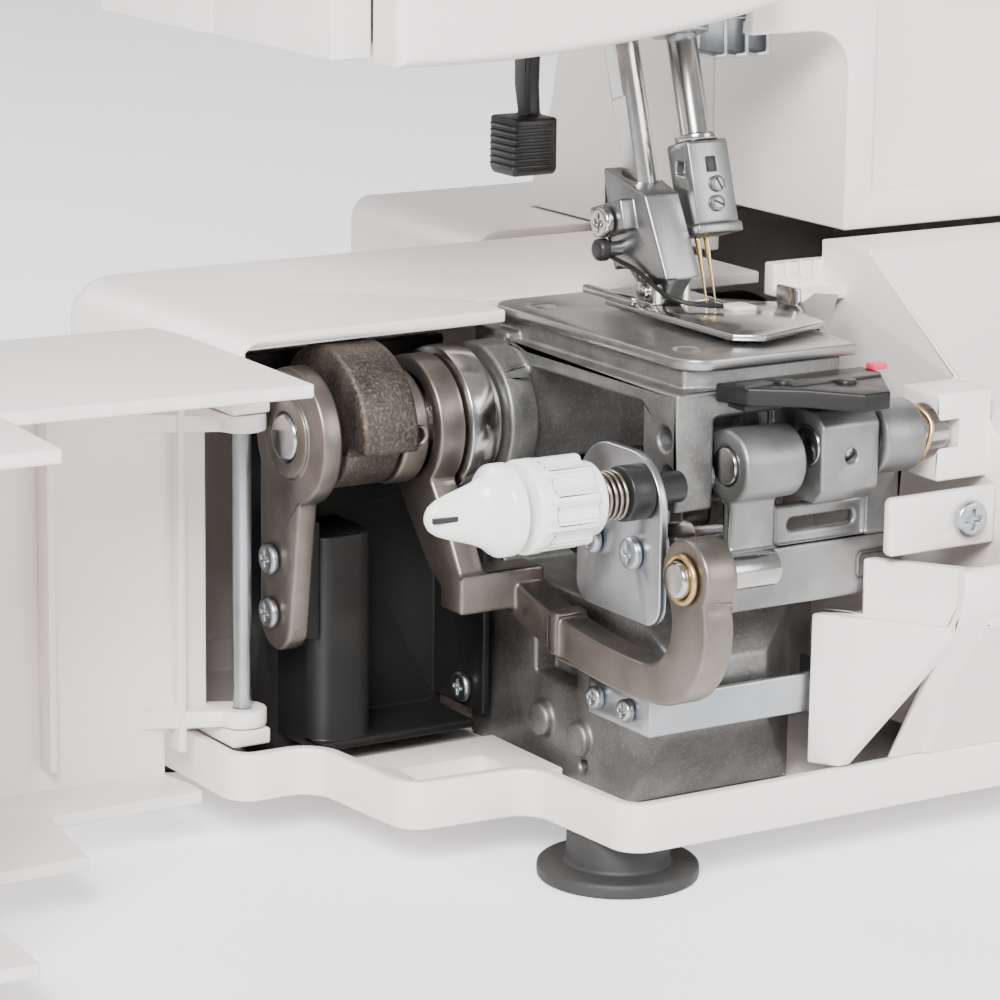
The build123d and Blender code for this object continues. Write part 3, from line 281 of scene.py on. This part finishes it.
# Loopers and the moving bars: hardened, polished steel, with a fine even shine.
# The feed dogs are the same steel left dark from hardening.
for node in ("lower_looper", "upper_looper", "presser_bar", "needle_bar"):
    eased(node, bright_steel, 0.0003)
tooth_steel = finish("tooth_steel", (0.10, 0.10, 0.10), (0.05, 0.05, 0.05), metallic=0.9,
                     rough=(0.3, 0.45), grain=900, bump=0.2)
eased("feed_dogs", tooth_steel, 0.0002)


# The zinc-plated brackets: stamped sheet with a cold bluish shine and a slightly cloudy skin.
# The catch for the shut door is moulded in the casing's own plastic.
for node in ("adjuster_plate", "cross_bracket", "head_plate", "thread_guide_bar"):
    eased(node, plated, 0.0004)
eased("catch_bracket", casing, 0.0006)


# The knife group: a die-cast frame and the holder block that clamps the upper knife.
# Both keep the dull, faintly pitted skin of the casting.
knife_casting = finish("knife_casting", (0.33, 0.33, 0.33), (0.21, 0.21, 0.207), metallic=0.9,
                       rough=(0.36, 0.54), grain=700, bump=0.28, depth=0.0003, patches=90)
eased("knife_frame", knife_casting, 0.0010, 3)
eased("knife_holder", knife_casting, 0.0007, 2)


# Cutting-width and stitch-length knobs: glossy white mouldings on a black pin, with a spring.
# The pointer knob narrows to a beak with a black mark. Dials and handle are the same plastic.
knob_white = finish("knob_plastic", (0.86, 0.85, 0.83), (0.83, 0.82, 0.80), rough=(0.22, 0.32),
                    grain=1800, bump=0.03, depth=0.0001, patches=25)
for node in ("scalloped_knob", "carry_handle", "pressure_knob", "tension_dial_1", "tension_dial_2",
             "tension_dial_3", "tension_dial_4"):
    eased(node, knob_white, 0.0007, 3)
eased("adjuster_shaft", black_plastic, 0.0004)
spring_wire = finish("spring_wire", (0.33, 0.29, 0.25), (0.20, 0.18, 0.16), metallic=1.0,
                     rough=(0.22, 0.36), grain=900, bump=0.05)
eased("adjuster_spring", spring_wire, 0.00002, 1)


def lofted(name, rings):
    """A skin over rings of points, capped at both ends."""
    shape = bmesh.new()
    rows = [[shape.verts.new(point) for point in ring] for ring in rings]
    for near, far in zip(rows, rows[1:]):
        for i in range(len(near)):
            j = (i + 1) % len(near)
            shape.faces.new((near[i], near[j], far[j], far[i]))
    shape.faces.new(list(reversed(rows[0])))
    shape.faces.new(rows[-1])
    bmesh.ops.recalc_face_normals(shape, faces=shape.faces)
    mesh = bpy.data.meshes.new(name)
    shape.to_mesh(mesh)
    shape.free()
    return mesh


knob_low, knob_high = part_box("pointer_knob")
knob_y, knob_z = (knob_low[1] + knob_high[1]) / 2, (knob_low[2] + knob_high[2]) / 2
knob_r = (knob_high[2] - knob_low[2]) / 2
# (share of the length from the back face, half height, half width), both as shares of the radius
beak = ((0.0, 0.93, 0.93), (0.02, 1.0, 1.0), (0.16, 1.0, 1.0), (0.2, 0.95, 0.9), (0.25, 0.86, 0.66),
        (0.33, 0.76, 0.44), (0.45, 0.66, 0.34), (0.6, 0.57, 0.29), (0.75, 0.48, 0.26),
        (0.88, 0.38, 0.22), (0.96, 0.27, 0.17), (1.0, 0.14, 0.09))
rings = []
for along, tall, wide in beak:
    x = knob_high[0] - along * (knob_high[0] - knob_low[0])
    rings.append([(x, knob_y + knob_r * wide * cos(a), knob_z + knob_r * tall * sin(a))
                  for a in [2 * pi * i / 48 for i in range(48)]])
pointer = shown("pointer_knob_part", lofted("pointer_knob_shape", rings), knob_white,
                "pointer_knob", 50)
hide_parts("pointer_knob")
slit = [((knob_low[0] + 0.0004, knob_low[0] + 0.0062), (knob_y - 0.0028, knob_y - 0.0016),
         (knob_z - 0.0006, knob_z + 0.0006))]
shown("pointer_mark", boxes("pointer_mark_shape", slit, 0.0002), black_plastic, "pointer_knob")


# The black rubber foot pads under the tray, dull and slightly rough, and the motor's drive belt,
# moulded in the same kind of rubber.
rubber = finish("foot_rubber", (0.018, 0.018, 0.018), (0.03, 0.03, 0.03), rough=(0.5, 0.68),
                grain=1500, bump=0.2, depth=0.0001)
eased("rubber_feet", rubber, 0.0009, 3)
eased("drive_belt", rubber, 0.0003)


# The presser group: a satin grey ankle clamped on its bar, and the clamp that holds the needles.
# The clamp has two slotted screws and a small sight window on its front face; the slots and the window
# are black bars of painted shade, not cuts.
satin_grey = finish("satin_steel", (0.30, 0.30, 0.30), (0.22, 0.22, 0.22), metallic=0.95,
                    rough=(0.26, 0.40), grain=1100, bump=0.1, patches=110)
eased("foot_ankle", satin_grey, 0.0006, 3)
eased("needle_clamp", satin_grey, 0.0004)
eased("foot_fasteners", bright_steel, 0.0003)


def wire(name, points, radius):
    """A bent round wire through the given points, as a mesh."""
    curve = bpy.data.curves.new(name, "CURVE")
    curve.dimensions = "3D"
    curve.bevel_depth, curve.bevel_resolution, curve.use_fill_caps = radius, 4, True
    run = curve.splines.new("NURBS")
    run.points.add(len(points) - 1)
    for knot, point in zip(run.points, points):
        knot.co = (*point, 1)
    run.order_u, run.use_endpoint_u = 3, True
    holder = bpy.data.objects.new(name, curve)
    bpy.context.scene.collection.objects.link(holder)
    graph = bpy.context.evaluated_depsgraph_get()
    mesh = bpy.data.meshes.new_from_object(holder.evaluated_get(graph))
    bpy.data.objects.remove(holder)
    return mesh


def head(name, centre, normal, radius, height):
    """A domed screw or pin head standing on a face."""
    shape = bmesh.new()
    # (share of the height, share of the radius), from the face to the crown
    dome = ((0.0, 1.0), (0.55, 1.0), (0.8, 0.93), (0.95, 0.75), (1.0, 0.5))
    rows = [[shape.verts.new((radius * r * cos(a), radius * r * sin(a), height * h))
             for a in [2 * pi * i / 32 for i in range(32)]] for h, r in dome]
    for near, far in zip(rows, rows[1:]):
        for i in range(32):
            shape.faces.new((near[i], near[(i + 1) % 32], far[(i + 1) % 32], far[i]))
    shape.faces.new(list(reversed(rows[0])))
    shape.faces.new(rows[-1])
    turned = Vector(normal).to_track_quat("Z", "X").to_matrix().to_4x4()
    bmesh.ops.transform(shape, matrix=Matrix.Translation(Vector(centre)) @ turned, verts=shape.verts)
    mesh = bpy.data.meshes.new(name)
    shape.to_mesh(mesh)
    shape.free()
    return mesh


plate_low, plate_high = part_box("needle_plate")
needle_in_plate = Vector((0.0395, 0.0465))      # from the plate's left front corner
drop = Vector((plate_low[0] + needle_in_plate.x, plate_low[1] + needle_in_plate.y, 0))


def near_needle(x, y, z):
    """A point given in millimetres from the needle's drop point on the table."""
    return drop + Vector((x, y, z)) / 1000


clamp_low, clamp_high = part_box("needle_clamp")
clamp_mid = (Vector(clamp_low) + Vector(clamp_high)) / 2
bar_lean = radians(17)
lean = Vector((0, sin(bar_lean), cos(bar_lean)))
outward = Vector((0, -cos(bar_lean), sin(bar_lean)))
facing = outward.to_track_quat("Z", "X").to_matrix().to_4x4()
slot_shade_size = [((-0.0014, 0.0014), (-0.00025, 0.00025), (-0.0003, 0.0002))]
window_shade_size = [((-0.0018, 0.0018), (-0.0013, 0.0013), (-0.0004, 0.0002))]
for step, up_by in enumerate((0.0006, -0.0038)):
    spot = clamp_mid + lean * up_by + outward * 0.0041 + Vector((0.0008 * (1 - step), 0, 0))
    screw = head("clamp_screw", spot, outward, radius=0.0019, height=0.0011)
    shown(f"clamp_screw_{step + 1}", screw, satin_grey, "needle_bar")
    # Each slot is a thin black bar laid on the screw head: painted shade standing for the slot's
    # recess.
    slot_turn = Matrix.Rotation(radians(25 + 40 * step), 4, "Z")
    across = Matrix.Translation(spot + outward * 0.0010) @ facing @ slot_turn
    shown(f"clamp_slot_shade_{step + 1}", boxes("clamp_slot_shade", slot_shade_size, 0.00008, across), black_plastic,
          "needle_bar")
# The sight window is a black box on the clamp's face: painted shade standing for the dark inside of
# the opening.
window = Matrix.Translation(clamp_mid + lean * 0.0052 + outward * 0.0042) @ facing
shown("clamp_window_shade", boxes("clamp_window_shape", window_shade_size, 0.00015, window), black_plastic,
      "needle_bar")


# Spring wire and button on the ankle: a bent black wire presses on the snap-on foot,
# and the button on its short neck lets the foot go.
leftward = (-1, 0, 0)
button = head("ankle_button", near_needle(-20.2, 15.2, 130.5), leftward, radius=0.0026, height=0.0026)
shown("ankle_button", button, black_plastic, "presser_bar")
neck = head("ankle_button_neck", near_needle(-16.2, 15.2, 130.5), leftward, radius=0.0017,
            height=0.0045)
shown("ankle_button_neck", neck, satin_grey, "presser_bar")
bends = ((-18.4, 17.5, 129.0), (-18.6, 12.0, 128.2), (-17.6, 7.0, 127.2), (-17.4, 1.0, 125.0),
         (-16.8, -4.0, 122.6), (-13.0, -9.0, 120.9), (-6.0, -11.5, 120.5))
ankle_spring = wire("ankle_wire", [near_needle(*bend) for bend in bends], radius=0.00055)
shown("ankle_wire", ankle_spring, black_paint, "presser_bar")


# The needles, gold from their titanium coating, and the polished foot they pass through.
# The foot has an upturned toe, a bar at its heel and a pale insert in front of the needles.
gold_needle = finish("gold_needle", (0.72, 0.55, 0.28), (0.60, 0.45, 0.22), metallic=1.0,
                     rough=(0.18, 0.28), grain=900, bump=0.03)
eased("needles", gold_needle, 0.00003, 1)
eased("presser_foot", bright_steel, 0.0004)
toe = [near_needle(*p) for p in ((5.0, -32.8, 119.2), (17.2, -21.4, 119.2), (15.0, -13.5, 119.2),
                                 (7.5, -17.0, 119.5))]
tip = [near_needle(*p) for p in ((8.0, -33.0, 120.2), (19.0, -21.0, 122.6), (17.2, -14.5, 122.0),
                                 (10.0, -18.0, 120.2))]
shown("foot_toe", lofted("foot_toe_shape", [toe, tip]), bright_steel, "presser_foot", 20)
heel_bar = [tuple(zip(near_needle(-22, 2, 119.6), near_needle(-19.8, 22, 121.6)))]
shown("foot_heel", boxes("foot_heel_shape", heel_bar, 0.0006), bright_steel, "presser_foot")
insert = [tuple(zip(near_needle(-4.6, -14, 119.4), near_needle(1.5, -8.2, 120.4)))]
pale_insert = finish("foot_insert", (0.75, 0.72, 0.66), (0.68, 0.65, 0.60), rough=(0.3, 0.4))
shown("foot_insert", boxes("foot_insert_shape", insert, 0.0002), pale_insert, "presser_foot")


# The presser lifter: a black lever with a ribbed finger pad.
# The ribs are fine bars moulded across the pad's front and its left side, seven on each.
eased("presser_lever", black_plastic, 0.0009, 3)
pad_low, pad_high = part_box("presser_lever")
band_height, band_step, bands_each = 0.0008, (0, 0, 0.0016), 7
lowest_band = pad_low[2] + 0.0024
front_bar = (pad_high[0] - pad_low[0] - 0.0014, 0.0018, band_height)
front_first = ((pad_low[0] + pad_high[0]) / 2 - 0.0011, pad_low[1] + 0.0003, lowest_band)
side_bar = (0.0015, pad_high[1] - pad_low[1] - 0.003, band_height)
side_first = (pad_low[0] + 0.00025, (pad_low[1] + pad_high[1]) / 2 - 0.0005, lowest_band)
for label, bar, first in (("front", front_bar, front_first), ("side", side_bar, side_first)):
    bands = row_of_blocks(f"lever_{label}_row", bar, first, band_step, bands_each, black_plastic)
    shown(f"lever_bands_{label}", bands, black_plastic, "presser_lever")


# The machine's cross-recess screws: zinc-plated steel, with a cold, slightly cloudy shine.
# They hold its castings, brackets and plates.
eased("screws", plated, 0.0003)


# What the thread guide plate carries: two low black screws, two guide arms that lie on it,
# and a small red tab at its right edge.
guide_low, guide_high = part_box("thread_guide_plate")
for number, (x, y) in enumerate(((-20, -54), (-8, -60))):
    seat = near_needle(x, y, guide_high[2] * 1000 - 0.3)
    shown(f"guide_screw_{number + 1}", head("guide_screw", seat, (0, 0, 1), radius=0.0023,
                                            height=0.0012),
          black_paint, "machine_body")
arm_height = (guide_high[2] - 0.0005, guide_high[2] + 0.0006)
arms = [((guide_low[0] + 0.012, guide_high[0] - 0.003), (guide_low[1] + 0.014, guide_low[1] + 0.018),
         arm_height),
        ((guide_low[0] + 0.002, guide_low[0] + 0.010), (guide_high[1] - 0.008, guide_high[1] - 0.004),
         arm_height)]
shown("guide_arms", boxes("guide_arms_shape", arms, 0.0005), black_plastic, "machine_body")
red = finish("red_tab", (0.78, 0.03, 0.09), (0.70, 0.025, 0.08), rough=(0.35, 0.45), grain=1500)
tab_low, tab_high = near_needle(5.5, -52, 111.8), near_needle(9.5, -49.2, 113.2)
shown("stitch_tab", boxes("stitch_tab_shape", [tuple(zip(tab_low, tab_high))], 0.0003), red,
      "machine_body")


# Bronze washers: one waved ring behind the drive rod's boss, and one sprung ring between the
# knife barrel and the housing.
bronze = finish("bronze_washer", (0.62, 0.44, 0.22), (0.50, 0.34, 0.16), metallic=1.0,
                rough=(0.25, 0.38), grain=900)


def washer(name, centre, radius, thick, wave=0.0):
    """A ring round an axis along X, waved if it is a spring washer.

    centre, radius and wave are in millimetres; thick, the wire's radius, is in metres."""
    ring = [near_needle(centre[0] + wave * sin(3 * a), centre[1] + radius * cos(a),
                        centre[2] + radius * sin(a)) for a in [2 * pi * i / 48 for i in range(49)]]
    return wire(name, ring, thick)


shown("pin_washer", washer("pin_washer", (-53.4, -65.2, 75.4), 4.9, 0.0007), bronze,
      "machine_body")
shown("knife_washer", washer("knife_washer", (17.0, -52, 97), 6.2, 0.0006, 0.7), bronze,
      "upper_knife")


# Floor, lights and camera ------------------------------------------------------------------------
floor_paint = finish("floor_paint", (0.97, 0.97, 0.97), (0.96, 0.96, 0.96), rough=(0.6, 0.7),
                     grain=40, bump=0.01)
floor_shader = floor_paint.node_tree.nodes["Principled BSDF"]
floor_shader.inputs["Emission Color"].default_value = (1, 1, 1, 1)
seen = floor_paint.node_tree.nodes.new("ShaderNodeLightPath")
floor_glow = floor_paint.node_tree.nodes.new("ShaderNodeMath")
floor_glow.operation = "MULTIPLY"
floor_glow.inputs[1].default_value = 0.55
floor_links = floor_paint.node_tree.links
floor_links.new(seen.outputs["Is Camera Ray"], floor_glow.inputs[0])
floor_links.new(floor_glow.outputs["Value"], floor_shader.inputs["Emission Strength"])
ground = bpy.data.meshes.new("floor")
reach = 6           # the floor's half width
ground.from_pydata([(-reach, -reach, 0), (reach, -reach, 0), (reach, reach, 0), (-reach, reach, 0)],
                   [], [(0, 1, 2, 3)])
ground.materials.append(floor_paint)
floor = bpy.data.objects.new("floor", ground)
bpy.context.scene.collection.objects.link(floor)

sky = bpy.data.worlds.new("studio")
sky.use_nodes = True
sky.node_tree.nodes["Background"].inputs["Color"].default_value = (1, 1, 1, 1)
sky.node_tree.nodes["Background"].inputs["Strength"].default_value = 0.5
bpy.context.scene.world = sky


def soft_lamp(name, place, aim, size, watts):
    """A square soft box at place, turned to face aim."""
    lamp = bpy.data.lights.new(name, "AREA")
    lamp.shape, lamp.size, lamp.energy = "SQUARE", size, watts
    piece = bpy.data.objects.new(name, lamp)
    piece.location = place
    piece.rotation_euler = (Vector(aim) - Vector(place)).to_track_quat("-Z", "Y").to_euler()
    bpy.context.scene.collection.objects.link(piece)


middle = (0, 0, 0.1)
soft_lamp("key_box", (-1.1, -1.3, 1.2), middle, size=0.7, watts=92)
soft_lamp("fill_box", (0.9, -1.5, 0.7), middle, size=0.9, watts=16)
soft_lamp("back_box", (-0.7, 1.2, 1.3), middle, size=0.8, watts=26)

aim = Vector((drop.x, drop.y, plate_high[2]))
eye_from_aim = Vector((-0.5058, -0.7097, 0.1609))
heading, dip, roll = radians(32.3), radians(13.3), radians(0.75)
forward = Vector((sin(heading) * cos(dip), cos(heading) * cos(dip), -sin(dip)))
right = Vector((cos(heading), -sin(heading), 0))
up = right.cross(forward)
right_rolled = right * cos(roll) + up * sin(roll)
up_rolled = up * cos(roll) - right * sin(roll)
lens = bpy.data.cameras.new("camera")
lens.lens, lens.sensor_width = 140.0, 36.0
lens.clip_start = 0.05
eye = bpy.data.objects.new("camera", lens)
stand = aim + eye_from_aim
eye.matrix_world = Matrix((
    (right_rolled.x, up_rolled.x, -forward.x, stand.x),
    (right_rolled.y, up_rolled.y, -forward.y, stand.y),
    (right_rolled.z, up_rolled.z, -forward.z, stand.z),
    (0, 0, 0, 1)))
bpy.context.scene.collection.objects.link(eye)
bpy.context.scene.camera = eye
